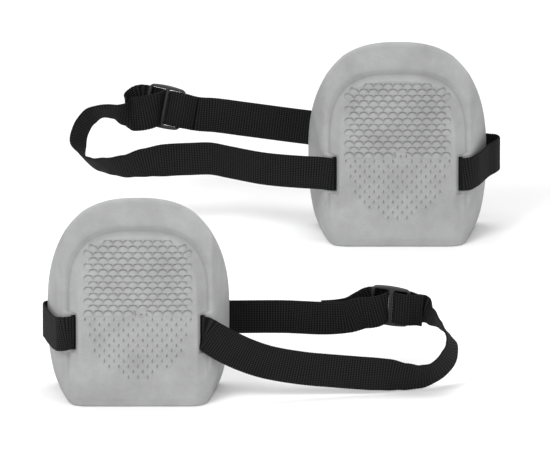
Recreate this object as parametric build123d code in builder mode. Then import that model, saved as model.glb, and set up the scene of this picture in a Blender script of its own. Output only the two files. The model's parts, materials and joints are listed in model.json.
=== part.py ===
"""A pair of moulded foam knee pads, each with one webbing strap and a three-bar slide buckle.

Both pads stand on their flat lower edges and face -Y. Z is up and the units are millimetres. The
origin is the middle of the left pad's base. Each pad is described in its own frame, at the middle
of its base, and PAD_PLACES says where the two pads stand.
"""
from build123d import *
import os
from math import cos, radians, sin

# Foam pad
PAD_HALF_WIDTH = 78.5
PAD_HEIGHT = 185.0
PAD_SECTIONS = ((0.0, 70.5), (20.0, 75.0), (60.0, PAD_HALF_WIDTH))   # (height, half width)
WIDEST_HEIGHT = 88.0            # the top arch starts here
ARCH_POWER = 2.5                # the top arch is a superellipse of this power
ARCH_STEPS = 8                  # points on each half of the arch
ARCH_SLOPE = 20.0               # degrees: the arched edge drops this steeply to the rear
HEEL_RADIUS = 14.0              # rounds the rear lower corner of each wing
FRONT_Y = -8.0                  # face of the raised kneecap plateau
BRIM_Y = 0.0                    # face of the rim around the plateau
INNER_Y = 8.0                   # back of the front wall
REAR_Y = 55.0                   # where the side wings end
FLAT_HALF_WIDTH = 48.0          # flat stretch of the front wall
CORNER_X = 68.0                 # where the front's plane and the wing's plane would meet
CORNER_Y = 12.0
INNER_FLAT_HALF_WIDTH = 52.0
INNER_CORNER_X = 60.0
INNER_CORNER_Y = 20.0
WING_WALL = 10.0
PLATEAU_HALF_WIDTH = 59.0
PLATEAU_TOP = 150.0
PLATEAU_CROWN = 4.0
PLATEAU_CORNER = 26.0
BRIM_FOOT = 44.0                # the rim runs into the lower front at this height

# Webbing and its slots
WEB_WIDTH = 30.0
WEB_THICK = 1.6
SLOT_Z = 65.0
SLOT_X = 55.0
SLOT_WIDTH = 4.0
SLOT_HEIGHT = 31.6
SLOT_BEND = 1.4                 # radius of the strap's bends in and out of a slot
LEG_X = 54.3                    # middle of the webbing inside a slot
EXIT_X = LEG_X + SLOT_BEND      # where the webbing lies down on the rim
RELIEF_HEIGHT = 38.0            # the plateau's side is cut back this high for the strap
LAY_Y = BRIM_Y - 1.2            # middle of the webbing where it lies on the rim
INSIDE_Y = INNER_Y + 1.1        # middle of the webbing where it crosses behind the front wall

# Slide buckle: X along the strap, Y across it, Z through it
BUCKLE_LENGTH = 34.0
BUCKLE_HEIGHT = 38.0
BUCKLE_THICK = 3.4
BUCKLE_CORNER = 5.0
RAIL_BOW = 1.6                  # how far each side rail bows outwards
BAR_WIDTH = 3.0
WINDOW_HEIGHT = 31.5
EDGE_ROUND = 1.1
SEWN_REACH = 28.5               # from the buckle's middle to the end of the sewn fold
SEWN_LAYER = WEB_THICK / 2 + 0.05
RUNNING_REACH = 13.0            # from the buckle's middle to the end of the fold's back leg
BACK_LAYER = -(BUCKLE_THICK / 2 + 0.55 + WEB_THICK / 2)
STITCH = (2.2, 0.5, 0.3)        # length, width and height of one stitch
STITCH_ROWS = (-24.8, -27.2)
STITCH_PITCH = 3.0
STITCHES_PER_ROW = 9
GAP = 0.3                       # clearance between pieces on different bodies

PAD_PLACES = {"left": (0.0, 0.0), "right": (223.7, 398.0)}

UP = (0.0, 0.0, 1.0)

# Each buckle: its middle, the way to its running side, and the way across the strap.
BUCKLES = {
    "left": ((215.5, 60.0, 67.0), (-0.97, 0.20, 0.08), (0.0, -0.15, 0.99)),
    "right": ((-203.4, 73.0, 101.0), (-0.955, 0.30, 0.12), (0.0, 0.25, 0.97)),
}

# The loose fold through the running window, in the buckle's frame: (along, across, to the front).
RUNNING_FOLDS = {
    "left": [
        (22, 6, 9), (15, 4.5, 8.6), (8.5, 2.5, 7), (4.6, 1, 4.2), (3.0, 0.2, 0.8), (4.2, 0, -2.2),
        (7.5, 0, BACK_LAYER), (RUNNING_REACH, 0, BACK_LAYER),
    ],
    "right": [
        (22, 10, 15), (14, 7.5, 14.4), (7.6, 4.5, 12), (3.9, 2, 8), (2.9, 0.5, 3.6), (3.2, 0, 0),
        (5.2, 0, -2.6), (8.6, 0, BACK_LAYER), (RUNNING_REACH, 0, BACK_LAYER),
    ],
}

# The sewn fold through the other window: the short end in front, the strand behind.
SEWN_FOLD = [
    (-SEWN_REACH, 0, SEWN_LAYER), (-23.5, 0, SEWN_LAYER), (-17.5, 0, 3.0), (-8, 0, 3.3),
    (-4.6, 0, 2.3), (-2.95, 0, 0), (-4.6, 0, -2.3), (-8, 0, -3.3), (-17.5, 0, -3.0),
    (-23.5, 0, -SEWN_LAYER), (-SEWN_REACH, 0, -SEWN_LAYER),
]

# The strap's route in each pad's frame: points on its middle line, with the direction across it.
LEFT_WRAP = [
    ((-EXIT_X, LAY_Y, SLOT_Z), UP),
    ((-62.3, -2.1, 64.6), UP),
    ((-68.2, 2.6, 62.6), UP),
    ((-71.6, 12, 60.2), UP),
    ((-74.3, 22, 58.8), UP),
    ((-77, 33, 58), UP),
    ((-79.4, 44, 57.6), UP),
    ((-81, 53, 57.5), UP),
    ((-79.6, 57, 57.5), UP),
    ((-76, 58.8, 57.5), UP),
]
LEFT_REAR = [
    ((-76, 58.8, 57.5), UP),
    ((-55, 59, 57.5), UP),
    ((0, 59, 57.5), UP),
    ((78, 58.5, 57.5), UP),
    ((125, 59, 57.5), UP),
    ((163, 60, 55.8), UP),
    ((178, 59.3, 56.9), (0, -0.1, 0.99)),
]
LEFT_LOOP = [
    ((250, 51.5, 60.5), (0.0, -0.60, 0.80)),
    ((258, 47.5, 54.5), (0.0, -0.84, 0.54)),
    ((264.5, 43, 47.5), (-0.12, -0.91, 0.39)),
    ((268, 39, 40), (-0.33, -0.83, 0.46)),
    ((265, 34, 29), (-0.36, -0.68, 0.64)),
    ((254, 29, 18.5), (-0.30, -0.65, 0.70)),
    ((241, 26, 14.8), (-0.24, -0.52, 0.83)),
    ((228, 24, 15.6), (-0.10, -0.35, 0.93)),
    ((213, 23, 17.8), (0.0, -0.10, 0.99)),
]
LEFT_FRONT = [
    ((213, 23, 17.8), (0.0, -0.10, 0.99)),
    ((197, 21.5, 19.4), UP),
    ((171, 19, 22.4), UP),
    ((137, 14.5, 27.4), UP),
    ((105, 9, 36), UP),
    ((84, 3.5, 46.5), UP),
    ((70, -0.9, 55.8), UP),
    ((62, LAY_Y - 0.7, 61.4), UP),
    ((EXIT_X, LAY_Y, SLOT_Z), UP),
]
LEFT_TAIL = [
    ((196, 68, 65.3), (0, -0.1, 0.99)),
    ((190, 68.4, 61.5), UP),
    ((183, 67.8, 58), UP),
    ((172, 66.5, 55.8), UP),
    ((157, 65.5, 55), UP),
]
RIGHT_WRAP = [
    ((80, 58.2, 66.5), UP),
    ((86.5, 54.5, 67), UP),
    ((89, 47, 67.5), UP),
    ((86.5, 38, 68), UP),
    ((80, 27, 68), UP),
    ((74.6, 15, 67.5), UP),
    ((69, 3.4, 67), UP),
    ((62.8, -2.1, 66), UP),
    ((EXIT_X, LAY_Y, SLOT_Z), UP),
]
RIGHT_REAR = [
    ((-160, 66, 95.8), (0, 0.3, 0.95)),
    ((-134, 65.5, 92.4), (0, 0.3, 0.95)),
    ((-83, 63, 86.2), (0, 0.3, 0.95)),
    ((0, 60.5, 77), (0, 0.15, 0.98)),
    ((60, 59.5, 69), UP),
    ((80, 58.2, 66.5), UP),
]
RIGHT_LOOP = [
    ((-202, 31, 66.5), UP),
    ((-220, 31, 64.2), (0.0, -0.25, 0.96)),
    ((-237, 32.5, 60.3), (0.0, -0.50, 0.86)),
    ((-252, 36, 59), (0.0, -0.68, 0.73)),
    ((-264, 41, 59), (-0.05, -0.80, 0.60)),
    ((-274, 47, 63), (-0.16, -0.85, 0.50)),
    ((-279, 54, 73), (-0.46, -0.70, 0.54)),
    ((-276, 60, 86), (-0.37, -0.70, 0.61)),
    ((-269, 63.5, 95), (-0.23, -0.68, 0.70)),
    ((-259, 65, 99.6), (-0.11, -0.76, 0.64)),
    ((-248, 64.5, 99.5), (0.0, -0.73, 0.68)),
    ((-238, 63.5, 97.5), (0.0, -0.50, 0.86)),
]
RIGHT_FRONT = [
    ((-EXIT_X, LAY_Y, SLOT_Z), UP),
    ((-66, -1, 66), UP),
    ((-85, -0.5, 67), UP),
    ((-115, 6, 67.5), UP),
    ((-147, 22, 68), UP),
    ((-163, 29.5, 68.5), UP),
    ((-180, 31.5, 67.5), UP),
    ((-202, 31, 66.5), UP),
]
RIGHT_TAIL = [
    ((-223, 82.4, 103), (0, 0.1, 0.99)),
    ((-230, 81.8, 100.8), UP),
    ((-236, 77, 97.6), UP),
    ((-237, 70.5, 95.5), UP),
]


def buckle_plane(side):
    """The buckle's plane: X to its running side, Z towards the front of the pads."""
    middle, along, across = BUCKLES[side]
    along = Vector(*along).normalized()
    face = along.cross(Vector(*across)).normalized()
    if face.Y > 0:
        face = -face
    return Plane(origin=middle, x_dir=along, z_dir=face)


def stand(side, name):
    """Moves a finished piece from its pad's frame to where the pad stands."""
    x, y = PAD_PLACES[side]
    return name.part.moved(Location((x, y, 0)))


def write(side, builder, node):
    """Places a piece, names it and writes its STEP file."""
    name = f"{side}_{node}"
    piece = stand(side, builder)
    piece.label = name
    export_step(piece, f"parts/{name}.step")


def heading(before, point, after):
    """The strap's direction at a point, halfway between the runs on its two sides."""
    arriving = (Vector(*point) - Vector(*before)).normalized()
    leaving = (Vector(*after) - Vector(*point)).normalized()
    return (arriving + leaving).normalized()


def webbing(stations, start=None, end=None):
    """A ribbon of webbing lofted through (point, across) stations.

    start and end are the strap's headings at the two ends, where another piece goes on from it.
    """
    points = [point for point, _ in stations]
    first = start or (Vector(*points[1]) - Vector(*points[0])).normalized()
    last = end or (Vector(*points[-1]) - Vector(*points[-2])).normalized()
    inner = [heading(*three) for three in zip(points, points[1:], points[2:])]
    with BuildPart() as ribbon:
        for (point, across), tangent in zip(stations, [first, *inner, last]):
            width = Vector(*across)
            width = (width - tangent * width.dot(tangent)).normalized()
            with BuildSketch(Plane(origin=point, x_dir=width, z_dir=tangent)):
                Rectangle(WEB_WIDTH, WEB_THICK)
        loft(ruled=True)
    return ribbon


def plan_profile(half_width, height):
    """The pad's C-shaped plan at one height: a flat front and two wings that flare to the rear."""
    share = half_width / PAD_HALF_WIDTH
    with BuildSketch(Plane.XY.offset(height)) as profile:
        with BuildLine():
            Line((0, FRONT_Y), (FLAT_HALF_WIDTH, FRONT_Y))
            Bezier(
                (FLAT_HALF_WIDTH, FRONT_Y), (CORNER_X * share, FRONT_Y),
                (CORNER_X * share, CORNER_Y), (half_width, REAR_Y),
            )
            Line((half_width, REAR_Y), (half_width - WING_WALL, REAR_Y))
            Bezier(
                (half_width - WING_WALL, REAR_Y), (INNER_CORNER_X * share, INNER_CORNER_Y),
                (INNER_CORNER_X * share, INNER_Y), (INNER_FLAT_HALF_WIDTH, INNER_Y),
            )
            Line((INNER_FLAT_HALF_WIDTH, INNER_Y), (0, INNER_Y))
            mirror(about=Plane.YZ)
        make_face()
    return profile.sketch


def rim_outline():
    """The face of the rim: everything above its foot and outside the arched plateau."""
    with BuildSketch() as plateau:
        with BuildLine():
            sides = Polyline(
                (-PLATEAU_HALF_WIDTH, PLATEAU_TOP), (-PLATEAU_HALF_WIDTH, 0),
                (PLATEAU_HALF_WIDTH, 0), (PLATEAU_HALF_WIDTH, PLATEAU_TOP),
            )
            ThreePointArc(sides @ 0, (0, PLATEAU_TOP + PLATEAU_CROWN), sides @ 1)
        make_face()
        fillet(plateau.vertices().group_by(Axis.Y)[-1], PLATEAU_CORNER)
    with BuildSketch(Plane.XZ.offset(-BRIM_Y)) as rim:
        with Locations((0, PAD_HEIGHT / 2 + BRIM_FOOT)):
            Rectangle(3 * PAD_HALF_WIDTH, PAD_HEIGHT)
        add(plateau.sketch, mode=Mode.SUBTRACT)
    return rim.sketch


def arch_point(degrees):
    """A point of the top arch, from the right side at 0 over the top to the left side at 180."""
    across, up = cos(radians(degrees)), sin(radians(degrees))
    x = abs(across) ** (2 / ARCH_POWER) * (1 if across > 0 else -1)
    rise = abs(up) ** (2 / ARCH_POWER)
    return (PAD_HALF_WIDTH * x, WIDEST_HEIGHT + (PAD_HEIGHT - WIDEST_HEIGHT) * rise)


def foam_pad():
    """The moulded pad: a C-shaped shell with an arched top, a raised plateau and two slots."""
    arch = [arch_point(180 * step / (2 * ARCH_STEPS)) for step in range(2 * ARCH_STEPS + 1)]
    plans = [plan_profile(half_width, height) for height, half_width in PAD_SECTIONS]
    drop = Vector(0, cos(radians(ARCH_SLOPE)), -sin(radians(ARCH_SLOPE)))
    with BuildPart() as pad:
        loft(plans + [plan_profile(PAD_HALF_WIDTH, PAD_HEIGHT + abs(FRONT_Y))], ruled=True)
        with BuildSketch(Plane.XZ):
            with BuildLine():
                Polyline(
                    arch[-1], (-PAD_HALF_WIDTH, -PAD_HEIGHT), (PAD_HALF_WIDTH, -PAD_HEIGHT), arch[0],
                )
                Spline(*arch, tangents=[(0, 1), (0, -1)])
            make_face()
        extrude(amount=PAD_HEIGHT, dir=drop, both=True, mode=Mode.INTERSECT)
        with BuildSketch(Plane.YZ):
            with Locations((REAR_Y - HEEL_RADIUS / 2, HEEL_RADIUS / 2)):
                Rectangle(HEEL_RADIUS, HEEL_RADIUS)
            with Locations((REAR_Y - HEEL_RADIUS, HEEL_RADIUS)):
                Circle(HEEL_RADIUS, mode=Mode.SUBTRACT)
        extrude(amount=PAD_HEIGHT, both=True, mode=Mode.SUBTRACT)
        extrude(rim_outline(), amount=2 * abs(FRONT_Y), mode=Mode.SUBTRACT)
        for way in (-1, 1):
            with BuildSketch(Plane.XZ.offset(-REAR_Y / 2)):
                with Locations((way * SLOT_X, SLOT_Z)):
                    Rectangle(SLOT_WIDTH, SLOT_HEIGHT)
            extrude(amount=REAR_Y, mode=Mode.SUBTRACT)
            with BuildSketch(Plane.XZ.offset(-BRIM_Y)):
                with Locations((way * (SLOT_X - SLOT_WIDTH / 2 + PAD_HALF_WIDTH / 2), SLOT_Z)):
                    Rectangle(PAD_HALF_WIDTH, RELIEF_HEIGHT)
            extrude(amount=2 * abs(FRONT_Y), mode=Mode.SUBTRACT)
    return pad


def inner_stations():
    """The strap in through one slot, across behind the front wall, and out of the other slot."""
    def bend(way, centre, first, last):
        turns = [first + (last - first) * step / 3 for step in range(4)]
        return [
            (way * (centre[0] + SLOT_BEND * cos(radians(a))), centre[1] + SLOT_BEND * sin(radians(a)))
            for a in turns
        ]

    outside = (LEG_X + SLOT_BEND, LAY_Y + SLOT_BEND)
    inside = (LEG_X - SLOT_BEND, INSIDE_Y - SLOT_BEND)
    left = bend(-1, outside, -90, -180) + bend(-1, inside, 0, 90)
    right = bend(1, inside, 90, 0) + bend(1, outside, -180, -90)
    return [((x, y, SLOT_Z), UP) for x, y in left + right]


def in_buckle_frame(plane, outline):
    """Strap stations from points given in the buckle's own frame."""
    return [(tuple(plane.from_local_coords(point)), tuple(plane.y_dir)) for point in outline]


def slide_buckle(side):
    """Three bars between two bowed side rails, with rounded edges."""
    plane = buckle_plane(side)
    half = BUCKLE_LENGTH / 2
    rail = BUCKLE_HEIGHT / 2 - RAIL_BOW
    window = (BUCKLE_LENGTH - 3 * BAR_WIDTH) / 2
    with BuildPart() as buckle:
        with BuildSketch(plane.offset(-BUCKLE_THICK / 2)):
            with BuildLine():
                ends = Polyline((-half, rail), (-half, -rail))
                other = Polyline((half, -rail), (half, rail))
                ThreePointArc(ends @ 1, (0, -BUCKLE_HEIGHT / 2), other @ 0)
                ThreePointArc(other @ 1, (0, BUCKLE_HEIGHT / 2), ends @ 0)
            outline = make_face()
            fillet(outline.vertices(), BUCKLE_CORNER)
            with GridLocations(window + BAR_WIDTH, 0, 2, 1):
                RectangleRounded(window, WINDOW_HEIGHT, 1.5, mode=Mode.SUBTRACT)
        extrude(amount=BUCKLE_THICK)
        faces = buckle.faces().filter_by(Axis(plane.origin, plane.z_dir))
        fillet(faces.edges(), EDGE_ROUND)
    return buckle


def stitching(side):
    """Rows of stitches on both faces of the sewn fold."""
    plane = buckle_plane(side)
    length, width, height = STITCH
    face = SEWN_LAYER + WEB_THICK / 2
    with BuildPart() as thread:
        for row in STITCH_ROWS:
            for level in (face, -face - height):
                with BuildSketch(plane.offset(level)):
                    with Locations((row, 0)):
                        with GridLocations(0, STITCH_PITCH, 1, STITCHES_PER_ROW):
                            SlotOverall(length, width, rotation=90)
                extrude(amount=height)
    return thread


def strap(side, wrap, front, loop, rear, tail):
    """All pieces of one strap with its buckle."""
    plane = buckle_plane(side)
    inner = inner_stations()
    running = in_buckle_frame(plane, RUNNING_FOLDS[side])
    sewn = in_buckle_frame(plane, SEWN_FOLD)
    entering = (Vector(*running[0][0]) - Vector(*running[1][0])).normalized()
    to_running = plane.x_dir
    near_running = (tuple(Vector(*running[0][0]) + entering * GAP), running[0][1])
    near_sewn = (tuple(Vector(*sewn[-1][0]) - to_running * GAP), sewn[-1][1])
    tail_root = (tuple(Vector(*running[-1][0]) + to_running * GAP), running[-1][1])
    if side == "left":
        side_turn = heading(wrap[-2][0], wrap[-1][0], rear[1][0])
        front_turn = heading(loop[-2][0], front[0][0], front[1][0])
        rear_strand = webbing(rear + [near_running], side_turn, -entering)
        loop_end = webbing([near_sewn] + loop, -to_running, front_turn)
        front_strand = webbing(front, front_turn, heading(front[-2][0], front[-1][0], inner[-2][0]))
        side_wrap = webbing(wrap, heading(inner[1][0], wrap[0][0], wrap[1][0]), side_turn)
        inner_ends = (wrap[1][0], front[-2][0])
    else:
        side_turn = heading(rear[-2][0], wrap[0][0], wrap[1][0])
        front_turn = heading(front[-2][0], loop[0][0], loop[1][0])
        rear_strand = webbing([near_sewn] + rear, -to_running, side_turn)
        loop_end = webbing(loop + [near_running], front_turn, -entering)
        front_strand = webbing(front, heading(inner[1][0], front[0][0], front[1][0]), front_turn)
        side_wrap = webbing(wrap, side_turn, heading(wrap[-2][0], wrap[-1][0], inner[-2][0]))
        inner_ends = (front[1][0], wrap[-2][0])
    inner_start = heading(inner_ends[0], inner[0][0], inner[1][0])
    inner_end = heading(inner[-2][0], inner[-1][0], inner_ends[1])
    write(side, rear_strand, "strap_rear_strand")
    write(side, loop_end, "strap_loop_end")
    write(side, front_strand, "strap_front_strand")
    write(side, side_wrap, "strap_side_wrap")
    write(side, webbing(inner, inner_start, inner_end), "strap_inner_pass")
    write(side, webbing(running, -entering, to_running), "strap_buckle_fold")
    write(side, webbing([tail_root] + tail, to_running), "strap_free_tail")
    write(side, webbing(sewn, to_running, -to_running), "strap_sewn_end")
    write(side, slide_buckle(side), "slide_buckle")
    write(side, stitching(side), "stitching")


os.makedirs("parts", exist_ok=True)
for pad_side in PAD_PLACES:
    write(pad_side, foam_pad(), "foam_pad")
strap("left", LEFT_WRAP, LEFT_FRONT, LEFT_LOOP, LEFT_REAR, LEFT_TAIL)
strap("right", RIGHT_WRAP, RIGHT_FRONT, RIGHT_LOOP, RIGHT_REAR, RIGHT_TAIL)
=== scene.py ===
"""Looks for the pair of foam knee pads: moulded foam, ribbed webbing, slide buckles and thread."""
import json
import math

import bmesh
import bpy
import numpy as np
from mathutils import Matrix, Vector


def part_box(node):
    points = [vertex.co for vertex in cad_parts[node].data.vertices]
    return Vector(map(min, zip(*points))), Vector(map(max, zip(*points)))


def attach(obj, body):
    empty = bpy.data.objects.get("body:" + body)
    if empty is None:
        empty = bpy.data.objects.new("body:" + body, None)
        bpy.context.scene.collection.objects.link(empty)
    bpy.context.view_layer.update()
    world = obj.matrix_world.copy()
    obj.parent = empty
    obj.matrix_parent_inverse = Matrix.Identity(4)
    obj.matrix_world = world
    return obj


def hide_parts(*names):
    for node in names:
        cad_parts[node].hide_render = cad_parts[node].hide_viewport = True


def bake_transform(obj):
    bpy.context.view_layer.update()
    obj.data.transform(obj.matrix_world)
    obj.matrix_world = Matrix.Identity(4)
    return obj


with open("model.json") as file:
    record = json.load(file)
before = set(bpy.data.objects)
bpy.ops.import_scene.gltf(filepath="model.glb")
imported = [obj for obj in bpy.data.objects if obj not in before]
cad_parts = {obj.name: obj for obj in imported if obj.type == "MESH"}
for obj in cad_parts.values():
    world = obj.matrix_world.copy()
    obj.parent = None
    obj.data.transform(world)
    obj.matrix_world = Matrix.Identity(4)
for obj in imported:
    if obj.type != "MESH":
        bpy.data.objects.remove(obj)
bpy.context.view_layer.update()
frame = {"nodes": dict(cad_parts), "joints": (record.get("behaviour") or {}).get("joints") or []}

MM = 0.001
SIDES = ("left", "right")

# ---------------------------------------------------------------- foam pad, in mm
FRONT_Y = -8.0                   # the plateau's face
RIM_Y = 0.0                      # the rim's face round it
INNER_Y = 8.0                    # the cavity's front wall
REAR_Y = 55.0                    # the wings' rear edges
HALF_WIDTH = 78.5
BASE_SHARE = 70.5 / 78.5         # the base's width as a share of the full width
FLARE_Z = 60.0                   # full width is reached at this height
WIDEST_Z = 88.0                  # the arch begins here
TOP_Z = 185.0
ARCH_FALL = math.tan(math.radians(20))
HEEL = 14.0                      # radius of the wings' lower rear corners
ARCH_POWER = 2.5
FLAT_X = 48.0
CORNER_X, CORNER_Y = 68.0, 12.0
INNER_CORNER_X, INNER_CORNER_Y = 60.0, 20.0
WING_WALL = 10.0
EDGE_ROUND = 4.0
BASE_ROUND = 1.5
MIDDLE_SHARE = 0.22              # depth, as a share of the wall, where both rounded faces meet
SLOT_X = (53.2, 56.8)
SLOT_Z = (49.3, 80.7)
SLOT_LIP = 0.8

# The front's relief.
RIM_LEAN, RIM_LEAN_Z = 2.2, 150.0        # how far the rim leans back, and from which height
RIM_SOFTNESS = 1.2                       # of the line where the rim runs into the wings
PLATEAU_X, PLATEAU_X_AT_SLOT = 59.0, 53.4
SLOT_BAND = ((46.2, 47.4), (82.6, 83.8))     # heights where it narrows for the slots
PLATEAU_SPRING = 92.0                    # height where the plateau's outline starts to close in
PLATEAU_TOP = 156.4
PLATEAU_POWER = 2.9
PLATEAU_FOOT = (18, 46)                  # heights over which the plateau's wall fades in
WALL_RUN, TOP_WALL_RUN = 10.0, 2.6       # how far in the wall reaches at the sides and at the top
SLOT_RUN_CUT = 7.0                       # how much less it reaches beside the slots
SCALE_PITCH = (8.45, 5.32)               # across, down
SCALE_SIZE = (4.2, 4.4)                  # half width and height of one scale's arch
SCALE_APEX = 151.1                       # apex height of the top row
SCALE_ROWS = 13
SCALE_DOME, SCALE_GROOVE, GROOVE_WIDTH = 0.62, 1.05, 0.62
ROW_HALVES = (30.0, 39.0, 42.6, 44.5)    # the outermost scale's middle in the top rows
SHIELD_TOP = 86.0
SHIELD_DROP = 63.0
SHIELD_HALF = 47.0
TICK_PITCH = (8.2, 4.75)
TICK_FOOT = 22.6
TICK_ROWS = 13
TICK_HALF, TICK_TAPER, TICK_DEPTH = (0.55, 1.75), 0.22, 1.15
NUB = (2.7, 83.9)
NUB_CLEAR = (5.2, 5.8)                   # the pattern stops within this radius of the nub
NUB_DISC, NUB_PIT = (2.6, 2.2), (1.1, 0.7)   # outer and inner radius of the slopes of the disc and pit

# The grid over the pad's half: runs of lines as (end, spacing).
EVEN_RUN, FULL_RUN = 56.0, 110.0
GRID_COLS = (
    (EVEN_RUN, 0.62), (62, 1.0), (102, 2.2), (106, 1.0), (108.4, 0.6), (109.6, 0.3), (FULL_RUN, 0.2),
)
CREST, CREST_LINES = 4.0, 13             # the crest's height, and the lines that crowd to its top
GRID_ROWS = (
    (0.6, 0.2), (1.6, 0.5), (3.0, 0.7), (19, 1.2), (158, 0.62), (176, 1.4), (TOP_Z - CREST, 0.8),
)
HOLD_ABOVE, HOLD_OVER = 66.0, 22.0       # plan length over which the even columns start to hold


def smooth(a, b, x):
    """0 below a, 1 above b, and a smooth step between them."""
    t = np.clip((x - a) / (b - a), 0, 1)
    return t * t * (3 - 2 * t)


def bell(x, width, power=2):
    """1 at 0, falling away to nothing within a few widths."""
    return np.exp(-(np.abs(x / width) ** power))


def steps(*runs):
    """Grid lines from (end, spacing) runs, starting at 0."""
    lines = [0.0]
    for end, spacing in runs:
        start = lines[-1]
        count = max(1, round((end - start) / spacing))
        lines += [start + (end - start) * (k + 1) / count for k in range(count)]
    return np.array(lines)


def bezier(points, t):
    """A cubic curve through the first and last of four plan points."""
    p = [np.array(q, float)[:, None] for q in points]
    s = 1 - t
    return (s**3 * p[0] + 3 * s * s * t * p[1] + 3 * s * t * t * p[2] + t**3 * p[3]).T


def arch_x(z):
    """Half the pad's width where the top arch passes a height, measured at the rim's face."""
    up = np.clip((z - WIDEST_Z) / (TOP_Z - WIDEST_Z), 0, 1)
    return HALF_WIDTH * (1 - up**ARCH_POWER) ** (1 / ARCH_POWER)


def share_at(z):
    """The plan's width at a height as a share of the full width."""
    low = np.clip(1 - z / FLARE_Z, 0, 1)
    return 1 - (1 - BASE_SHARE) * low**2.2


def edge_at(z, outer, run):
    """How far round the plan the pad reaches at a height, before the arch or the heel cuts it."""
    heel = REAR_Y - HEEL + math.sqrt(max(HEEL**2 - max(HEEL - z, 0.0) ** 2, 0.0))
    arch = arch_x(z + ARCH_FALL * outer[:, 1].clip(0))
    room = np.minimum(arch - outer[:, 0], heel - outer[:, 1])
    beyond = np.nonzero(room < -1e-6)[0]
    if not len(beyond):
        return run[-1]
    k = max(beyond[0], 1)
    share = room[k - 1] / max(room[k - 1] - room[k], 1e-9)
    return float(run[k - 1] + (run[k] - run[k - 1]) * share)


def plan_curves(share):
    """Outer and inner plan curves at one height, as matching points from the middle to the rear."""
    half = HALF_WIDTH * share
    t = np.linspace(0, 1, 400)
    flat = np.linspace(0, FLAT_X, 80, endpoint=False)
    outer = bezier([
        (FLAT_X, FRONT_Y), (CORNER_X * share, FRONT_Y),
        (CORNER_X * share, CORNER_Y), (half, REAR_Y),
    ], t)
    inner = bezier([
        (FLAT_X, INNER_Y), (INNER_CORNER_X * share, INNER_Y),
        (INNER_CORNER_X * share, INNER_CORNER_Y), (half - WING_WALL, REAR_Y),
    ], t)
    outer = np.vstack([np.column_stack([flat, np.full_like(flat, FRONT_Y)]), outer])
    inner = np.vstack([np.column_stack([flat, np.full_like(flat, INNER_Y)]), inner])
    return outer, inner


def arcs(x, z):
    """The fish-scale relief: rows of separate arches, each a low dome under a grooved line."""
    (pitch_x, pitch_z), (rx, rz) = SCALE_PITCH, SCALE_SIZE
    row = np.floor((SCALE_APEX - z) / pitch_z)
    shift = np.mod(row, 2) * pitch_x / 2
    cx = np.round((x - shift) / pitch_x) * pitch_x + shift
    foot = SCALE_APEX - row * pitch_z - rz
    high = np.maximum(z - foot, 0) / rz
    d = np.hypot((x - cx) / rx, high)
    near = np.abs(d - 1) * 0.5 * (rx + rz)
    groove = bell(near, GROOVE_WIDTH) * (0.3 + 0.7 * np.clip(high, 0, 1))
    dome = np.where(d < 1, 1 - 0.75 * d**2, 0.3)
    k = row.clip(0, SCALE_ROWS - 1).astype(int)
    half = np.array(ROW_HALVES + (ROW_HALVES[-1],) * SCALE_ROWS)[k]
    there = (row >= 0) & (row < SCALE_ROWS) & (np.abs(cx) <= half)
    # The second value is painted shade along each arch's groove line.
    return there * (SCALE_DOME * dome - SCALE_GROOVE * groove), there * groove


def ticks(x, z):
    """The lower relief: upright teardrop dents, each in a shallow lozenge."""
    pitch_x, pitch_z = TICK_PITCH
    half_x, half_z = TICK_HALF
    out, dent = np.zeros(x.shape), np.zeros(x.shape)
    base = np.round((z - TICK_FOOT) / pitch_z)
    for step in (-1, 0, 1):
        row = base + step
        cz = TICK_FOOT + row * pitch_z
        shift = np.mod(row + 1, 2) * pitch_x / 2
        cx = np.round((x - shift) / pitch_x) * pitch_x + shift
        there = (row >= 0) & (row < TICK_ROWS) & (np.abs(cx) <= shield_half(cz) - 1.2)
        taper = half_x + TICK_TAPER * np.clip((cz - z) / 1.8, -1, 1)
        hole = bell(np.hypot((x - cx) / taper, (z - cz) / half_z), 1, 4)
        lozenge = np.clip(1 - np.abs(x - cx) / (pitch_x / 2) - np.abs(z - cz) / pitch_z, 0, 1)
        out = np.maximum(out, there * lozenge)
        dent = np.maximum(dent, there * hole)
    # The second value is painted shade down in each dent.
    return out - TICK_DEPTH * dent, dent


def shield_half(z):
    """Half the width of the ticked shield at a height: round below, upright sides above."""
    down = np.clip((SHIELD_TOP - z) / SHIELD_DROP, 0, 1)
    return SHIELD_HALF * np.clip(1 - down**2.6, 0, 1) ** 0.75


def gate_nub(x, z):
    """The moulding gate's pitted disc between two slits: its height, painted shade in its slits and pit,
    and surroundings.
    """
    away = np.hypot(x - NUB[0], z - NUB[1])
    pit = smooth(*NUB_PIT, away)
    slit = bell(np.hypot((np.abs(x - NUB[0]) - 4.7) / 0.5, (z - NUB[1]) / 1.6), 1, 4)
    height = smooth(*NUB_DISC, away) * 0.6 - pit * 0.9 - 0.8 * slit
    return height, slit + 0.8 * pit, 1 - smooth(*NUB_CLEAR, away)


def rim_face(z):
    """Where the rim's face stands at a height."""
    return RIM_Y + RIM_LEAN * smooth(RIM_LEAN_Z, TOP_Z, z)


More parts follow.
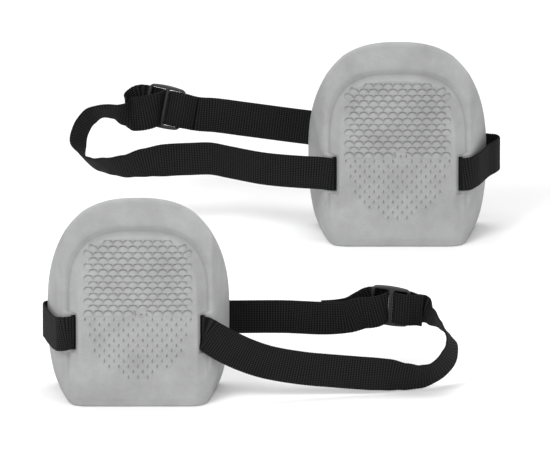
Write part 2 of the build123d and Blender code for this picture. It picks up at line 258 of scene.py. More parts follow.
def relief(x, z, y):
    """How far the front stands behind the plan's front, and how much painted shade its grooves, dents and
    crease get.
    """
    ax = np.abs(x)
    at_slot = smooth(*SLOT_BAND[0], z) * (1 - smooth(*SLOT_BAND[1], z))
    side = PLATEAU_X - (PLATEAU_X - PLATEAU_X_AT_SLOT) * at_slot
    up = np.clip((z - PLATEAU_SPRING) / (PLATEAU_TOP - PLATEAU_SPRING), 0, None)
    across, rise = (ax / side) ** PLATEAU_POWER, up**PLATEAU_POWER
    reach = (across + rise) ** (1 / PLATEAU_POWER)
    inside = (1 - reach) * side          # distance in from the plateau's outline
    at_top = smooth(0.35, 0.8, rise / np.maximum(across + rise, 1e-9))
    run = (WALL_RUN - SLOT_RUN_CUT * at_slot) * (1 - at_top) + TOP_WALL_RUN * at_top
    outside = 1 - smooth(0, 1, inside / run)
    low = smooth(*PLATEAU_FOOT, z)
    rim = np.logaddexp(y / RIM_SOFTNESS, rim_face(z) / RIM_SOFTNESS) * RIM_SOFTNESS
    back = outside * low * (rim - y)
    crease = bell(inside + 1.2, 2.4) * low * (1 - at_slot) * 1.1
    shoulder = bell(inside - run, 3.0) * low * 0.6
    fold = bell(ax - 57.5 * share_at(z), 4.0) * (1 - smooth(30, 60, z)) * 0.9
    crown = (1 - outside) * (1.2 * (x / SHIELD_HALF) ** 2 + 1.3 * ((z - PLATEAU_SPRING) / 60) ** 2)
    lip = smooth(6.5, 5.0, z) * 0.5 * (1 - smooth(50, 60, ax))
    scale, groove = arcs(x, z)
    lower, dent = ticks(x, z)
    nub, nub_painted_shade, near_nub = gate_nub(x, z)
    out = (scale + lower) * (1 - near_nub) + nub * near_nub
    # Painted shade down in the arch grooves, the dents and the nub's slits and pit.
    painted_shade = (groove + dent * 0.9) * (1 - near_nub) + near_nub * nub_painted_shade
    # Painted shade along the crease at the plateau's foot.
    painted_shade = painted_shade + 0.45 * bell(inside + 0.4, 1.1) * low * (1 - at_slot)
    return back + crease - shoulder + fold + crown * low - out + lip, painted_shade


def pad_grid():
    """Plan points of the pad's two surfaces on one grid, with height and distance from the edge."""
    cols, rows = steps(*GRID_COLS), steps(*GRID_ROWS)
    rows = np.concatenate([rows, TOP_Z - CREST * np.linspace(1, 0, CREST_LINES + 1)[1:] ** 1.8])
    rows[-1] = TOP_Z - 0.02
    front, back, limits, along = [], [], [], []
    for z in rows:
        outer, inner = plan_curves(share_at(z))
        run = np.concatenate([[0], np.cumsum(np.hypot(*np.diff(outer, axis=0).T))])
        limit = edge_at(z, outer, run)
        keep = np.clip((limit - HOLD_ABOVE) / HOLD_OVER, 0, 1)
        beyond = EVEN_RUN + (cols - EVEN_RUN) * (limit - EVEN_RUN) / (FULL_RUN - EVEN_RUN)
        held = np.where(cols < EVEN_RUN, cols, beyond)
        at = keep * held + (1 - keep) * cols * limit / FULL_RUN
        front.append(np.column_stack([np.interp(at, run, outer[:, k]) for k in (0, 1)]))
        back.append(np.column_stack([np.interp(at, run, inner[:, k]) for k in (0, 1)]))
        limits.append(limit)
        along.append(at)
    along = np.array(along)
    height = np.repeat(rows[:, None], len(cols), 1)
    edge = np.column_stack([limits, rows])
    top = np.column_stack([np.linspace(limits[-1], 0, 12), np.full(12, TOP_Z)])
    edge = np.vstack([edge, top])
    distance = np.full(along.shape, 99.0)
    for a, b in zip(edge[:-1], edge[1:]):
        d = b - a
        s = np.clip(((along - a[0]) * d[0] + (height - a[1]) * d[1]) / max(d @ d, 1e-12), 0, 1)
        distance = np.minimum(distance, np.hypot(along - a[0] - s * d[0], height - a[1] - s * d[1]))
    return np.array(front), np.array(back), height, distance


def quarter_round(share):
    """A quarter circle's height at a share of its radius."""
    return np.sqrt(np.clip(1 - (1 - np.clip(share, 0, 1)) ** 2, 0, 1))


def pad_points(front, back, height, distance, way):
    """The two surfaces of one half of the pad, rounded at the rim, the slot and the base."""
    x, y = front[..., 0], front[..., 1]
    # The relief also gives painted shade for grooves, dents and crease, passed on below.
    inset, painted_shade = relief(way * x, height, y)
    tangent = np.gradient(front, axis=1)
    tangent /= np.maximum(np.linalg.norm(tangent, axis=2, keepdims=True), 1e-9)
    normal = np.stack([tangent[..., 1], -tangent[..., 0]], 2)
    forward = (1 - smooth(46, 60, x))[..., None]
    push = np.stack([np.zeros_like(x), np.ones_like(x)], 2)
    push = np.where((inset > 0)[..., None], push, forward * push - (1 - forward) * normal)
    outer = front + push * inset[..., None]
    inner = back.copy()
    inner[..., 1] += rim_face(height) * (height > RIM_LEAN_Z)
    middle = outer + (inner - outer) * MIDDLE_SHARE
    full = quarter_round(distance / EDGE_ROUND)[..., None]
    outer = middle + (outer - middle) * full
    inner = middle + (inner - middle) * full
    dx = np.maximum(np.maximum(SLOT_X[0] - x, x - SLOT_X[1]), 0)
    dz = np.maximum(np.maximum(SLOT_Z[0] - height, height - SLOT_Z[1]), 0)
    tuck = BASE_ROUND * (1 - quarter_round(height / BASE_ROUND))
    tuck = tuck + SLOT_LIP * (1 - quarter_round(np.hypot(dx, dz) / SLOT_LIP))
    direction = middle - outer
    direction /= np.maximum(np.linalg.norm(direction, axis=2, keepdims=True), 1e-6)
    tuck = np.minimum(tuck, 3.0)[..., None]
    return outer + direction * tuck * full, inner - direction * tuck * full, painted_shade


def foam_mesh(name):
    """One closed mesh for the whole pad, in mm in the pad's own frame."""
    front, back, height, distance = pad_grid()
    outer, inner, painted_shade = [], [], []
    for way, cut in ((-1, slice(None, 0, -1)), (1, slice(None))):
        flip = np.array([way, 1])
        near, far, groove = pad_points(front, back, height, distance, way)
        outer.append((near * flip)[:, cut])
        inner.append((far * flip)[:, cut])
        painted_shade.append(groove[:, cut])
    outer, inner, painted_shade = (np.concatenate(part, 1) for part in (outer, inner, painted_shade))
    heights = np.concatenate([height[:, :0:-1], height], 1)
    rows, cols = heights.shape
    edge = np.concatenate([distance[:, :0:-1], distance], 1) < 1e-3
    edge[-1] = True
    points = np.vstack([
        np.column_stack([outer.reshape(-1, 2), heights.ravel()]),
        np.column_stack([inner.reshape(-1, 2), heights.ravel()]),
    ])
    grid = np.arange(rows * cols).reshape(rows, cols)
    twin = np.where(edge, grid, grid + rows * cols)

    x_line = np.abs(outer[np.argmin(np.abs(height[:, 0] - np.mean(SLOT_Z)))][:, 0])
    z_mid = (heights[:-1, 0] + heights[1:, 0]) / 2
    x_mid = (x_line[:-1] + x_line[1:]) / 2
    in_rows = (z_mid > SLOT_Z[0]) & (z_mid < SLOT_Z[1])
    in_cols = (x_mid > SLOT_X[0]) & (x_mid < SLOT_X[1])
    hole = in_rows[:, None] & in_cols[None, :]
    faces = [
        np.stack([grid[:-1, :-1], grid[:-1, 1:], grid[1:, 1:], grid[1:, :-1]], 2)[~hole],
        np.stack([twin[:-1, :-1], twin[1:, :-1], twin[1:, 1:], twin[:-1, 1:]], 2)[~hole],
        np.column_stack([grid[0, 1:], grid[0, :-1], twin[0, :-1], twin[0, 1:]]),
    ]
    for r, c in zip(*np.nonzero(hole)):
        low_left, low_right, top_left, top_right = (r, c), (r, c + 1), (r + 1, c), (r + 1, c + 1)
        for beside, a, b in (
            ((r - 1, c), low_left, low_right), ((r + 1, c), top_right, top_left),
            ((r, c - 1), top_left, low_left), ((r, c + 1), low_right, top_right),
        ):
            if not hole[beside]:
                faces.append(np.array([[grid[a], grid[b], twin[b], twin[a]]]))
    faces = [list(dict.fromkeys(face)) for face in np.vstack(faces).tolist()]
    faces = [face for face in faces if len(face) > 2]
    mesh = bpy.data.meshes.new(name)
    mesh.from_pydata((points * MM).tolist(), [], faces)
    # The groove attribute holds painted shade for the foam's colour.
    painted_shade_layer = mesh.attributes.new("groove", "FLOAT", "POINT")
    painted_shade = np.concatenate([painted_shade.ravel(), np.zeros(painted_shade.size)])
    painted_shade_layer.data.foreach_set("value", painted_shade.astype(np.float32))
    return mesh


def finish_mesh(mesh, merge=1e-6):
    """Merges what coincides, drops loose points, turns faces outwards and shades them smooth."""
    work = bmesh.new()
    work.from_mesh(mesh)
    bmesh.ops.remove_doubles(work, verts=work.verts, dist=merge)
    bmesh.ops.delete(work, geom=[v for v in work.verts if not v.link_faces], context="VERTS")
    bmesh.ops.dissolve_degenerate(work, dist=merge, edges=work.edges)
    bmesh.ops.recalc_face_normals(work, faces=work.faces)
    work.to_mesh(mesh)
    work.free()
    mesh.polygons.foreach_set("use_smooth", [True] * len(mesh.polygons))
    return mesh


def place(name, mesh, offset):
    """Puts a mesh of a pad's own frame where that pad stands."""
    piece = bpy.data.objects.new(name, mesh)
    bpy.context.scene.collection.objects.link(piece)
    mesh.transform(Matrix.Translation(offset))
    return piece


# ---------------------------------------------------------------- webbing, in mm
WEB_WIDTH, WEB_THICK = 30.0, 1.6
RIB_PITCH = 2.25
RIB_HEIGHT = 0.26
RING_STEP = 0.55                 # length between the mesh's rings
YARNS = 18                       # raised yarns across the webbing
YARN_PITCH = 1.6
EDGE_WAVE = 0.12                 # how far each selvedge swings in and out
UP = (0.0, 0.0, 1.0)
LEG_X = 54.3                     # the strap's middle line inside a slot
SLOT_LEVEL = 65.0
BEND = 1.4                       # radius of its turns there
EXIT_X = LEG_X + BEND
LAY_Y = -1.2                     # where it lies in front of a wing
INSIDE_Y = 9.1                   # where it lies behind the front wall
SEWN_REACH = 28.5
SEWN_LAYER = 0.85
RUNNING_REACH = 13.0
BACK_LAYER = -3.05

# The folds at the buckle, in its own frame: (along, down, to the front).
RUNNING_FOLDS = {
    "left": [
        (22, 6, 9), (15, 4.5, 8.6), (8.5, 2.5, 7), (4.3, 1, 4.2), (2.4, 0.2, 0.8), (4.0, 0, -2.2),
        (7.5, 0, BACK_LAYER), (RUNNING_REACH, 0, BACK_LAYER),
    ],
    "right": [
        (22, 10, 15), (14, 7.5, 14.4), (7.6, 4.5, 12), (3.7, 2, 8), (2.5, 0.5, 3.6), (2.4, 0, 0),
        (5.2, 0, -2.6), (8.6, 0, BACK_LAYER), (RUNNING_REACH, 0, BACK_LAYER),
    ],
}
SEWN_FOLD = [
    (-SEWN_REACH, 0, SEWN_LAYER), (-23.5, 0, SEWN_LAYER), (-17.5, 0, 3.0), (-8, 0, 3.3),
    (-4.4, 0, 2.3), (-2.4, 0, 0), (-4.4, 0, -2.3), (-8, 0, -3.3), (-17.5, 0, -3.0),
    (-23.5, 0, -SEWN_LAYER), (-SEWN_REACH, 0, -SEWN_LAYER),
]

# The strap's route in each pad's frame: points on its middle line, with the direction across it.
STRAPS = {
    "left": {
        "wrap": [
            ((-EXIT_X, LAY_Y, SLOT_LEVEL), UP),
            ((-62.3, -2.1, 64.6), UP),
            ((-68.2, 2.6, 62.6), UP),
            ((-71.6, 12, 60.2), UP),
            ((-74.3, 22, 58.8), UP),
            ((-77, 33, 58), UP),
            ((-79.4, 44, 57.6), UP),
            ((-81, 53, 57.5), UP),
            ((-79.6, 57, 57.5), UP),
            ((-76, 58.8, 57.5), UP),
        ],
        "rear": [
            ((-76, 58.8, 57.5), UP),
            ((-55, 59, 57.5), UP),
            ((0, 59, 57.5), UP),
            ((78, 58.5, 57.5), UP),
            ((125, 59, 57.5), UP),
            ((163, 60, 55.8), UP),
            ((178, 59.3, 56.9), (0, -0.1, 0.99)),
        ],
        "loop": [
            ((250, 51.5, 60.5), (0.0, -0.60, 0.80)),
            ((258, 47.5, 54.5), (0.0, -0.84, 0.54)),
            ((264.5, 43, 47.5), (-0.12, -0.91, 0.39)),
            ((268, 39, 40), (-0.33, -0.83, 0.46)),
            ((265, 34, 29), (-0.36, -0.68, 0.64)),
            ((254, 29, 18.5), (-0.30, -0.65, 0.70)),
            ((241, 26, 14.8), (-0.24, -0.52, 0.83)),
            ((228, 24, 15.6), (-0.10, -0.35, 0.93)),
            ((213, 23, 17.8), (0.0, -0.10, 0.99)),
        ],
        "front": [
            ((213, 23, 17.8), (0.0, -0.10, 0.99)),
            ((197, 21.5, 19.4), UP),
            ((171, 19, 22.4), UP),
            ((137, 14.5, 27.4), UP),
            ((105, 9, 36), UP),
            ((84, 3.5, 46.5), UP),
            ((70, -0.9, 55.8), UP),
            ((62, LAY_Y - 0.7, 61.4), UP),
            ((EXIT_X, LAY_Y, SLOT_LEVEL), UP),
        ],
        "tail": [
            ((196, 68, 65.3), (0, -0.1, 0.99)),
            ((190, 68.4, 61.5), UP),
            ((183, 67.8, 58), UP),
            ((172, 66.5, 55.8), UP),
            ((157, 65.5, 55), UP),
        ],
    },
    "right": {
        "wrap": [
            ((80, 58.2, 66.5), UP),
            ((86.5, 54.5, 67), UP),
            ((89, 47, 67.5), UP),
            ((86.5, 38, 68), UP),
            ((80, 27, 68), UP),
            ((74.6, 15, 67.5), UP),
            ((69, 3.4, 67), UP),
            ((62.8, -2.1, 66), UP),
            ((EXIT_X, LAY_Y, SLOT_LEVEL), UP),
        ],
        "rear": [
            ((-160, 66, 95.8), (0, 0.3, 0.95)),
            ((-134, 65.5, 92.4), (0, 0.3, 0.95)),
            ((-83, 63, 86.2), (0, 0.3, 0.95)),
            ((0, 60.5, 77), (0, 0.15, 0.98)),
            ((60, 59.5, 69), UP),
            ((80, 58.2, 66.5), UP),
        ],
        "loop": [
            ((-202, 31, 66.5), UP),
            ((-220, 31, 64.2), (0.0, -0.25, 0.96)),
            ((-237, 32.5, 60.3), (0.0, -0.50, 0.86)),
            ((-252, 36, 59), (0.0, -0.68, 0.73)),
            ((-264, 41, 59), (-0.05, -0.80, 0.60)),
            ((-274, 47, 63), (-0.16, -0.85, 0.50)),
            ((-279, 54, 73), (-0.46, -0.70, 0.54)),
            ((-276, 60, 86), (-0.37, -0.70, 0.61)),
            ((-269, 63.5, 95), (-0.23, -0.68, 0.70)),
            ((-259, 65, 99.6), (-0.11, -0.76, 0.64)),
            ((-248, 64.5, 99.5), (0.0, -0.73, 0.68)),
            ((-238, 63.5, 97.5), (0.0, -0.50, 0.86)),
        ],
        "front": [
            ((-EXIT_X, LAY_Y, SLOT_LEVEL), UP),
            ((-66, -1, 66), UP),
            ((-85, -0.5, 67), UP),
            ((-115, 6, 67.5), UP),
            ((-147, 22, 68), UP),
            ((-163, 29.5, 68.5), UP),
            ((-180, 31.5, 67.5), UP),
            ((-202, 31, 66.5), UP),
        ],
        "tail": [
            ((-223, 82.4, 103), (0, 0.1, 0.99)),
            ((-230, 81.8, 100.8), UP),
            ((-236, 77, 97.6), UP),
            ((-237, 70.5, 95.5), UP),
        ],
    },
}


def pad_origin(side):
    """The middle of the pad's base, in metres, from its CAD node."""
    low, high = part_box(f"{side}_foam_pad")
    return Vector(((low.x + high.x) / 2, low.y - FRONT_Y * MM, 0))


def joint(name):
    """The frame's entry for one joint."""
    return next(j for j in frame["joints"] if j["name"] == name)


def buckle_frame(side):
    """The buckle's middle (mm, pad frame) and its directions along, across and to the front."""
    low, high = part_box(f"{side}_slide_buckle")
    middle = np.array(((low + high) / 2 - pad_origin(side)) / MM)
    along = np.array(joint(f"{side}_strap_adjust")["axis"], float)
    across = np.array(joint(f"{side}_tail_flip")["axis"], float)
    face = np.cross(along, across)
    face = face if face[1] < 0 else -face
    return middle, along, across, face


def inner_stations():
    """In through one slot, across behind the front wall, and out of the other slot."""
    def bend(way, centre, first, last):
        turns = [math.radians(first + (last - first) * k / 3) for k in range(4)]
        return [
            (way * (centre[0] + BEND * math.cos(a)), centre[1] + BEND * math.sin(a)) for a in turns
        ]

    outside = (LEG_X + BEND, LAY_Y + BEND)
    inside = (LEG_X - BEND, INSIDE_Y - BEND)
    route = bend(-1, outside, -90, -180) + bend(-1, inside, 0, 90)
    route += bend(1, inside, 90, 0) + bend(1, outside, -180, -90)
    return [((x, y, SLOT_LEVEL), UP) for x, y in route]


def in_buckle_frame(side, outline):
    """Strap stations from points given in the buckle's own frame."""
    middle, along, across, face = buckle_frame(side)
    route = [middle + along * x - across * y + face * z for x, y, z in outline]
    return [(tuple(point), tuple(across)) for point in route]


def chain(side):
    """The whole strap from its free tail to its sewn tip, as named runs."""
    route = {name: stations[::-1] for name, stations in STRAPS[side].items()}
    fold = in_buckle_frame(side, RUNNING_FOLDS[side])[::-1]
    sewn = in_buckle_frame(side, SEWN_FOLD)[::-1]
    middle = {
        "left": [
            ("rear_strand", route["rear"]), ("side_wrap", route["wrap"]), ("inner_pass", inner_stations()),
            ("front_strand", route["front"]), ("loop_end", route["loop"]),
        ],
        "right": [
            ("loop_end", route["loop"]), ("front_strand", route["front"]), ("inner_pass", inner_stations()),
            ("side_wrap", route["wrap"]), ("rear_strand", route["rear"]),
        ],
    }[side]
    return [("free_tail", route["tail"]), ("buckle_fold", fold), *middle, ("sewn_end", sewn)]


def smooth_path(stations, step):
    """Points, directions across and station marks along a smooth curve through the stations.

    The curve's slope at a station is the mean of the two gaps' slopes, weighted to the shorter.
    """
    points = np.array([p for p, _ in stations], float)
    across = np.array([a for _, a in stations], float)
    gap = np.linalg.norm(np.diff(points, axis=0), axis=1)
    slope = np.diff(points, axis=0) / gap[:, None]
    tangent = np.vstack([slope[:1], slope, slope[-1:]])
    left, right = tangent[:-1], tangent[1:]
    a = np.concatenate([gap[:1], gap])[:, None]
    b = np.concatenate([gap, gap[-1:]])[:, None]
    tangent = (left * b + right * a) / (a + b)
    out, wide, marks = [], [], [0]
    for k, length in enumerate(gap):
        count = max(2, round(length / step))
        t = (np.arange(count) / count)[:, None]
        h = (2 * t**3 - 3 * t**2 + 1, t**3 - 2 * t**2 + t, -2 * t**3 + 3 * t**2, t**3 - t**2)
        out.append(
            h[0] * points[k] + h[1] * length * tangent[k]
            + h[2] * points[k + 1] + h[3] * length * tangent[k + 1]
        )
        ease = t * t * (3 - 2 * t)
        wide.append(across[k] * (1 - ease) + across[k + 1] * ease)
        marks.append(marks[-1] + count)
    out.append(points[-1:])
    wide.append(across[-1:])
    return np.vstack(out), np.vstack(wide), marks


def ring_profile():
    """The webbing's cross-section: (across, level, yarn) round one ring."""
    across = np.linspace(-1, 1, 2 * YARNS + 1) * (WEB_WIDTH / 2 - 0.55)
    yarn = np.arange(2 * YARNS + 1)
    top = [(w, 1.0, k) for w, k in zip(across, yarn)]
    edge = WEB_WIDTH / 2
    right = [(edge - 0.1, 0.55, -1), (edge, 0.0, -1), (edge - 0.1, -0.55, -1)]
    left = [(-edge + 0.1, -0.55, -1), (-edge, 0.0, -1), (-edge + 0.1, 0.55, -1)]
    return top + right + [(w, -1.0, k) for w, _, k in reversed(top)] + left


def path_frames(points, wide):
    """Directions across and through the webbing, and the distance run, all along the strap."""
    tangent = np.gradient(points, axis=0)
    tangent /= np.linalg.norm(tangent, axis=1, keepdims=True)
    across = wide - tangent * np.sum(wide * tangent, 1, keepdims=True)
    across /= np.linalg.norm(across, axis=1, keepdims=True)
    run = np.concatenate([[0], np.cumsum(np.linalg.norm(np.diff(points, axis=0), axis=1))])
    return across, np.cross(tangent, across), run


def ribbon_mesh(name, points, across, normal, run):
    """A closed ribbon with woven cross ribs, and UVs in millimetres along and across."""
    ring = ring_profile()
    verts = np.zeros((len(points), len(ring), 3))
    uv = np.zeros((len(points), len(ring), 2))
    phase = np.pi * run / RIB_PITCH
    for k, (w, level, yarn) in enumerate(ring):
        if yarn >= 0:
            scale, sink = (1.0, 0.0) if yarn % 2 else (0.55, 0.35)     # on a yarn, or between two
            half_turn = (yarn // 2) % 2 * np.pi / 2
            rib = (np.abs(np.sin(phase + half_turn)) - 0.5) * scale - sink
            rise = level * (WEB_THICK / 2) + np.sign(level) * RIB_HEIGHT * rib
            reach = w * np.ones_like(run)
        else:
            rise = level * (WEB_THICK / 2) * np.ones_like(run)
            reach = w + np.sign(w) * EDGE_WAVE * np.sin(2 * phase)
        verts[:, k] = points + across * reach[:, None] + normal * rise[:, None]
        uv[:, k, 0], uv[:, k, 1] = run, w
    n, m = len(points), len(ring)
    grid = np.arange(n * m).reshape(n, m)
    turn = np.roll(grid, -1, axis=1)
    quads = np.stack([grid[:-1], turn[:-1], turn[1:], grid[1:]], 2).reshape(-1, 4)
    faces = quads.tolist() + [grid[0].tolist()[::-1], grid[-1].tolist()]
    mesh = bpy.data.meshes.new(name)
    mesh.from_pydata((verts.reshape(-1, 3) * MM).tolist(), [], faces)
    layer = mesh.uv_layers.new(name="weave")
    loops = np.zeros(len(mesh.loops), int)
    mesh.loops.foreach_get("vertex_index", loops)
    layer.data.foreach_set("uv", uv.reshape(-1, 2)[loops].ravel().astype(np.float32))
    mesh.polygons.foreach_set("use_smooth", [True] * (len(faces) - 2) + [False, False])
    return mesh


def make_strap(side, material):
    """All of one strap's runs, each its own object, with one unbroken rib pattern."""
    stations, ends = [], []
    runs = chain(side)
    for _, part in runs:
        joined = stations and math.dist(part[0][0], stations[-1][0]) < 0.01
        stations += part[1:] if joined else part
        ends.append(len(stations) - 1)
    ends[0] += 1         # the tail and the last run before the sewn end reach to the next run's
    ends[-2] += 1        # first station, so no stretch of webbing is missing between them
    points, wide, marks = smooth_path(stations, RING_STEP)
    across, normal, run = path_frames(points, wide)
    origin = pad_origin(side)
    pieces = {}
    for (name, _), a, b in zip(runs, [0] + ends[:-1], ends):
        span = slice(marks[a], marks[b] + 1)
        mesh = ribbon_mesh(f"{side}_web_{name}", points[span], across[span], normal[span], run[span])
        mesh.materials.append(material)
        piece = place(f"{side}_web_{name}", mesh, origin)
        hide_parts(f"{side}_strap_{name}")
        pieces[name] = piece
    return pieces


# ---------------------------------------------------------------- thread
STITCH_ROWS = (-24.8, -27.2)     # places along the buckle's own axis
STITCH_PITCH = 3.0
STITCHES_PER_ROW = 9
STITCH_LENGTH, STITCH_RADIUS = 2.3, 0.26
STITCH_RINGS, STITCH_SIDES = 7, 8
STITCH_LEAN = 0.12
STITCH_BOW = 0.12                # how much higher a stitch's middle lies than its ends
STITCH_LIFT = 0.05


def stitch_mesh(side):
    """Rows of short raised stitches on both faces of the sewn fold."""
    middle, along, across, face = buckle_frame(side)
    turns = [2 * math.pi * s / STITCH_SIDES for s in range(STITCH_SIDES)]
    columns = range(STITCHES_PER_ROW)
    places = [(row, k, level) for row in STITCH_ROWS for k in columns for level in (1, -1)]
    verts, faces = [], []
    for row, k, level in places:
        base = len(verts)
        lean = STITCH_LEAN * math.sin(3.1 * k + row)
        for r in range(STITCH_RINGS):
            t = r / (STITCH_RINGS - 1) * 2 - 1
            radius = STITCH_RADIUS * (math.sqrt(max(0.0, 1 - abs(t) ** 3)) * 0.85 + 0.15)
            lift = SEWN_LAYER + WEB_THICK / 2 + STITCH_BOW * (1 - t * t) + STITCH_LIFT
            sideways = (k - (STITCHES_PER_ROW - 1) / 2) * STITCH_PITCH + t * STITCH_LENGTH / 2
            centre = middle + along * (row + lean * t) + face * level * lift
            centre = centre + across * sideways
            verts += [centre + (along * math.cos(a) + face * math.sin(a)) * radius for a in turns]
        rings = [
            [base + r * STITCH_SIDES + s for s in range(STITCH_SIDES)] for r in range(STITCH_RINGS)
        ]
        for low, high in zip(rings[:-1], rings[1:]):
            for s in range(STITCH_SIDES):
                n = (s + 1) % STITCH_SIDES
                faces.append([low[s], low[n], high[n], high[s]])
        faces += [rings[0][::-1], rings[-1]]
    mesh = bpy.data.meshes.new(f"{side}_thread")
    mesh.from_pydata((np.array(verts) * MM).tolist(), [], faces)
    return finish_mesh(mesh, 1e-7)


# ---------------------------------------------------------------- materials
SETTINGS = ("operation", "attribute_name", "bands_direction", "data_type", "blend_type")


def new_material(name):
    material = bpy.data.materials.new(name)
    material.use_nodes = True
    tree = material.node_tree
    return material, tree, tree.nodes["Principled BSDF"]


def node(tree, kind, **values):
    """A shader node with its settings and unlinked inputs filled in."""
    made = tree.nodes.new(f"ShaderNode{kind}")
    for key, value in values.items():
        if key in SETTINGS:
            setattr(made, key, value)
        else:
            made.inputs[key.replace("_", " ")].default_value = value
    return made


def texture(tree, vector, kind, **values):
    """A texture node that reads the given coordinates."""
    made = node(tree, f"Tex{kind}", **values)
    tree.links.new(vector, made.inputs["Vector"])
    return made


def object_coords(tree):
    return tree.nodes.new("ShaderNodeTexCoord").outputs["Object"]


def ramp(tree, source, *stops):
    """A ramp of two stops, each a position with a grey or a colour."""
    made = node(tree, "ValToRGB")
    tree.links.new(source, made.inputs["Fac"])
    for stop, (position, colour) in zip(made.color_ramp.elements, stops):
        stop.position = position
        stop.color = (*colour, 1) if hasattr(colour, "__len__") else (colour, colour, colour, 1)
    return made.outputs["Color"]


def mix(tree, factor, first, second, **settings):
    """Two colours mixed; the factor and the colours are outputs to link or plain values."""
    made = node(tree, "Mix", data_type="RGBA", **settings)
    for socket, value in (("Factor", factor), (6, first), (7, second)):
        if isinstance(value, bpy.types.NodeSocket):
            tree.links.new(value, made.inputs[socket])
        else:
            made.inputs[socket].default_value = value
    return made.outputs[2]


def bumps(tree, shader, *layers):
    """Chains bumps of (height, strength, distance in metres) into the shader's normal."""
    normal = None
    for height, strength, distance in layers:
        made = node(tree, "Bump", Strength=strength, Distance=distance)
        tree.links.new(height, made.inputs["Height"])
        if normal:
            tree.links.new(normal, made.inputs["Normal"])
        normal = made.outputs["Normal"]
    tree.links.new(normal, shader.inputs["Normal"])


def finish_shader(tree, shader, base, rough, specular=None):
    """Gives the shader its colour, its roughness (an output or a value) and its specular level."""
    tree.links.new(base, shader.inputs["Base Color"])
    if isinstance(rough, bpy.types.NodeSocket):
        tree.links.new(rough, shader.inputs["Roughness"])
    else:
        shader.inputs["Roughness"].default_value = rough
    if specular is not None:
        shader.inputs["Specular IOR Level"].default_value = specular


def foam_material():
    """Grey closed-cell foam: mottled, faintly grained by the mould, with painted shade down in its grooves.
    """
    material, tree, shader = new_material("foam")
    coords = object_coords(tree)
    cloud = texture(tree, coords, "Noise", Scale=34.0, Detail=4.0, Roughness=0.6).outputs["Fac"]
    speck = texture(tree, coords, "Noise", Scale=900.0, Detail=3.0, Roughness=0.7).outputs["Fac"]
    grain = texture(tree, coords, "Noise", Scale=2600.0, Detail=2.0, Roughness=0.6).outputs["Fac"]
    cell = texture(tree, coords, "Voronoi", Scale=1500.0).outputs["Distance"]
    tone = ramp(tree, cloud, (0.3, (0.305, 0.306, 0.309)), (0.7, (0.385, 0.386, 0.389)))
    fleck = ramp(tree, speck, (0.35, 0.86), (0.62, 1.0))
    flecked = mix(tree, 0.55, tone, fleck, blend_type="MULTIPLY")
    # Painted shade: the groove attribute mixes a near-black grey into the foam's colour.
    groove = node(tree, "Attribute", attribute_name="groove").outputs["Fac"]
    painted_shade = node(tree, "Math", operation="MULTIPLY")
    painted_shade.inputs[1].default_value = 0.62
    tree.links.new(groove, painted_shade.inputs[0])
    base = mix(tree, painted_shade.outputs[0], flecked, (0.085, 0.085, 0.087, 1))
    finish_shader(tree, shader, base, ramp(tree, speck, (0.3, 0.62), (0.7, 0.82)), 0.35)
    bumps(tree, shader, (grain, 0.35, 0.00025), (cell, 0.25, 0.0002))
    return material


def webbing_material():
    """Near-black woven polypropylene: painted highlight where rib and yarn cross, yarn twist and a faint
    sheen.
    """
    material, tree, shader = new_material("webbing")
    uv = tree.nodes.new("ShaderNodeUVMap")
    uv.uv_map = "weave"
    weave = uv.outputs["UV"]             # in millimetres, along and across
    ribs = texture(tree, weave, "Wave", Scale=math.pi / RIB_PITCH / 10).outputs["Fac"]
    columns = texture(
        tree, weave, "Wave", Scale=math.pi / YARN_PITCH / 10, bands_direction="Y",
    ).outputs["Fac"]
    twist = texture(
        tree, weave, "Wave", Scale=0.85, Distortion=0.4, Detail=1.0, bands_direction="DIAGONAL",
    ).outputs["Fac"]
    fuzz = texture(tree, weave, "Noise", Scale=2.6, Detail=4.0, Roughness=0.75).outputs["Fac"]
    worn = texture(tree, weave, "Noise", Scale=0.06, Detail=3.0).outputs["Fac"]
    # Painted highlight: the colour is lighter where the ribs and yarn columns cross.
    raised = node(tree, "Math", operation="MULTIPLY")
    tree.links.new(ribs, raised.inputs[0])
    tree.links.new(columns, raised.inputs[1])
    tone = ramp(
        tree, raised.outputs[0], (0.05, (0.001, 0.001, 0.0011)), (0.8, (0.03, 0.03, 0.031)),
    )
    fleck = ramp(tree, fuzz, (0.3, 0.6), (0.75, 1.25))
    flecked = mix(tree, 0.8, tone, fleck, blend_type="MULTIPLY")
    faded = ramp(tree, worn, (0.45, 0.0), (0.8, 0.35))
    base = mix(tree, faded, flecked, (0.011, 0.011, 0.012, 1))
    finish_shader(tree, shader, base, ramp(tree, fuzz, (0.3, 0.62), (0.7, 0.85)), 0.12)
    bumps(tree, shader, (twist, 0.5, 0.00012), (fuzz, 0.4, 0.0001))
    return material


def plastic_material():
    """Black moulded acetal: satin, with a fine spark-eroded grain and rubbed patches."""
    material, tree, shader = new_material("buckle_plastic")
    coords = object_coords(tree)
    grain = texture(tree, coords, "Noise", Scale=2400.0, Detail=2.0).outputs["Fac"]
    rub = texture(tree, coords, "Noise", Scale=140.0, Detail=4.0, Roughness=0.7).outputs["Fac"]
    base = ramp(tree, rub, (0.35, (0.010, 0.010, 0.011)), (0.75, (0.021, 0.021, 0.023)))
    finish_shader(tree, shader, base, ramp(tree, rub, (0.3, 0.40), (0.7, 0.55)))
    bumps(tree, shader, (grain, 0.25, 0.0001))
    return material


def thread_material():
    """Black polyester thread with the lay of its twist."""
    material, tree, shader = new_material("thread")
    lay = texture(
        tree, object_coords(tree), "Wave",
        Scale=900.0, Distortion=1.0, Detail=1.0, bands_direction="DIAGONAL",
    ).outputs["Fac"]
    base = ramp(tree, lay, (0.2, (0.004, 0.004, 0.0042)), (0.8, (0.013, 0.013, 0.014)))
    finish_shader(tree, shader, base, 0.7, 0.15)
    bumps(tree, shader, (lay, 0.5, 0.0001))
    return material


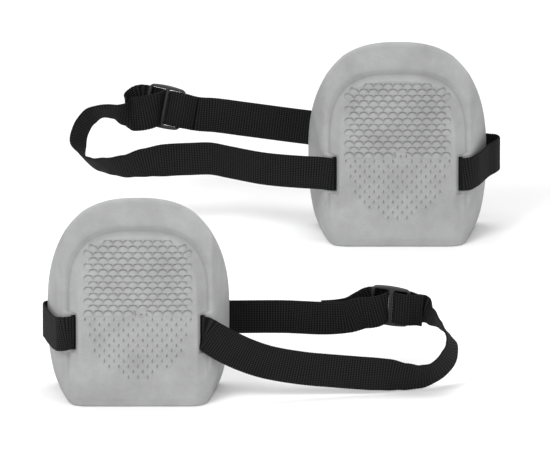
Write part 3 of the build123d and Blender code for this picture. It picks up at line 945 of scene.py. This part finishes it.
def floor_material():
    """A matt, nearly white studio sweep."""
    material, tree, shader = new_material("studio_floor")
    haze = texture(tree, object_coords(tree), "Noise", Scale=3.0, Detail=2.0).outputs["Fac"]
    finish_shader(tree, shader, ramp(tree, haze, (0.3, 0.9), (0.7, 0.93)), 0.9, 0.1)
    return material


# ---------------------------------------------------------------- studio
ELEVATION = math.radians(20)
VIEW_WIDTH = 55 / 116            # metres seen across the picture at the aim point
LENS, SENSOR = 1300.0, 36.0      # millimetres; so long a lens that the view is almost parallel
AIM = Vector((0.1168, 0.200, 0.0896))
WORLD_STRENGTH = 0.62
FLOOR_REACH = 6.0
LIGHTS = (                       # name, place, diameter in metres, watts
    ("key", (-0.9, -1.1, 1.7), 0.9, 26),
    ("fill", (1.5, -0.9, 0.9), 1.4, 9),
    ("top", (0.1, 0.5, 1.9), 1.4, 16),
)


def make_camera():
    data = bpy.data.cameras.new("camera")
    data.lens, data.sensor_width = LENS, SENSOR
    data.clip_start, data.clip_end = 0.1, 60.0
    back = Vector((0, -math.cos(ELEVATION), math.sin(ELEVATION)))
    camera = bpy.data.objects.new("camera", data)
    camera.location = AIM + back * (VIEW_WIDTH / (SENSOR / LENS))
    camera.rotation_mode = "QUATERNION"
    camera.rotation_quaternion = (-back).to_track_quat("-Z", "Y")
    bpy.context.scene.collection.objects.link(camera)
    bpy.context.scene.camera = camera


def area_light(name, place_at, size, power):
    """A round lamp turned to the aim point."""
    data = bpy.data.lights.new(name, "AREA")
    data.shape, data.size, data.energy = "DISK", size, power
    light = bpy.data.objects.new(name, data)
    light.location = place_at
    light.rotation_mode = "QUATERNION"
    light.rotation_quaternion = (AIM - Vector(place_at)).to_track_quat("-Z", "Y")
    bpy.context.scene.collection.objects.link(light)


def make_studio():
    scene = bpy.context.scene
    world = bpy.data.worlds.new("studio")
    world.use_nodes = True
    background = world.node_tree.nodes["Background"]
    background.inputs["Color"].default_value = (1, 1, 1, 1)
    background.inputs["Strength"].default_value = WORLD_STRENGTH
    scene.world = world
    scene.view_settings.view_transform = "Standard"
    for lamp in LIGHTS:
        area_light(*lamp)
    mesh = bpy.data.meshes.new("floor")
    ways = ((-1, -1), (1, -1), (1, 1), (-1, 1))
    mesh.from_pydata([(x * FLOOR_REACH, y * FLOOR_REACH, 0) for x, y in ways], [], [[0, 1, 2, 3]])
    mesh.materials.append(floor_material())
    floor = bpy.data.objects.new("floor", mesh)
    scene.collection.objects.link(floor)


# ---------------------------------------------------------------- build
# The runs that stretch between a pad and its buckle, with the points (mm, pad frame) where each
# starts to leave the pad and where it has joined the buckle.
BLENDS = {
    "left": {
        "rear_strand": ((80, 58, 57), (188, 56, 60)),
        "loop_end": ((250, 25, 40), (250, 51.5, 40)),
    },
    "right": {
        "loop_end": ((-245, 33.5, 80), (-245, 60.5, 80)),
        "rear_strand": ((-60, 62, 84), (-168, 66, 96)),
    },
}

make_camera()
make_studio()
foam, webbing = foam_material(), webbing_material()
plastic, thread = plastic_material(), thread_material()
pad_shape = finish_mesh(foam_mesh("pad_shape"))
for side in SIDES:
    origin = pad_origin(side)
    mesh = pad_shape.copy()
    mesh.materials.append(foam)
    pad = place(f"{side}_moulded_pad", mesh, origin)
    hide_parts(f"{side}_foam_pad")
    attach(pad, f"{side}_pad")
    web = make_strap(side, webbing)
    for name in ("side_wrap", "inner_pass", "front_strand"):
        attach(web[name], f"{side}_pad")
    for name in ("buckle_fold", "sewn_end"):
        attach(web[name], f"{side}_buckle")
    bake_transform(web["free_tail"])
    stitches = stitch_mesh(side)
    stitches.materials.append(thread)
    sewing = place(f"{side}_thread", stitches, origin)
    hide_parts(f"{side}_stitching")
    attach(sewing, f"{side}_buckle")
    buckle = frame["nodes"][f"{side}_slide_buckle"]
    for material_slot in buckle.material_slots:
        material_slot.material = plastic
    for name, (start, end) in BLENDS[side].items():
        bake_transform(web[name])
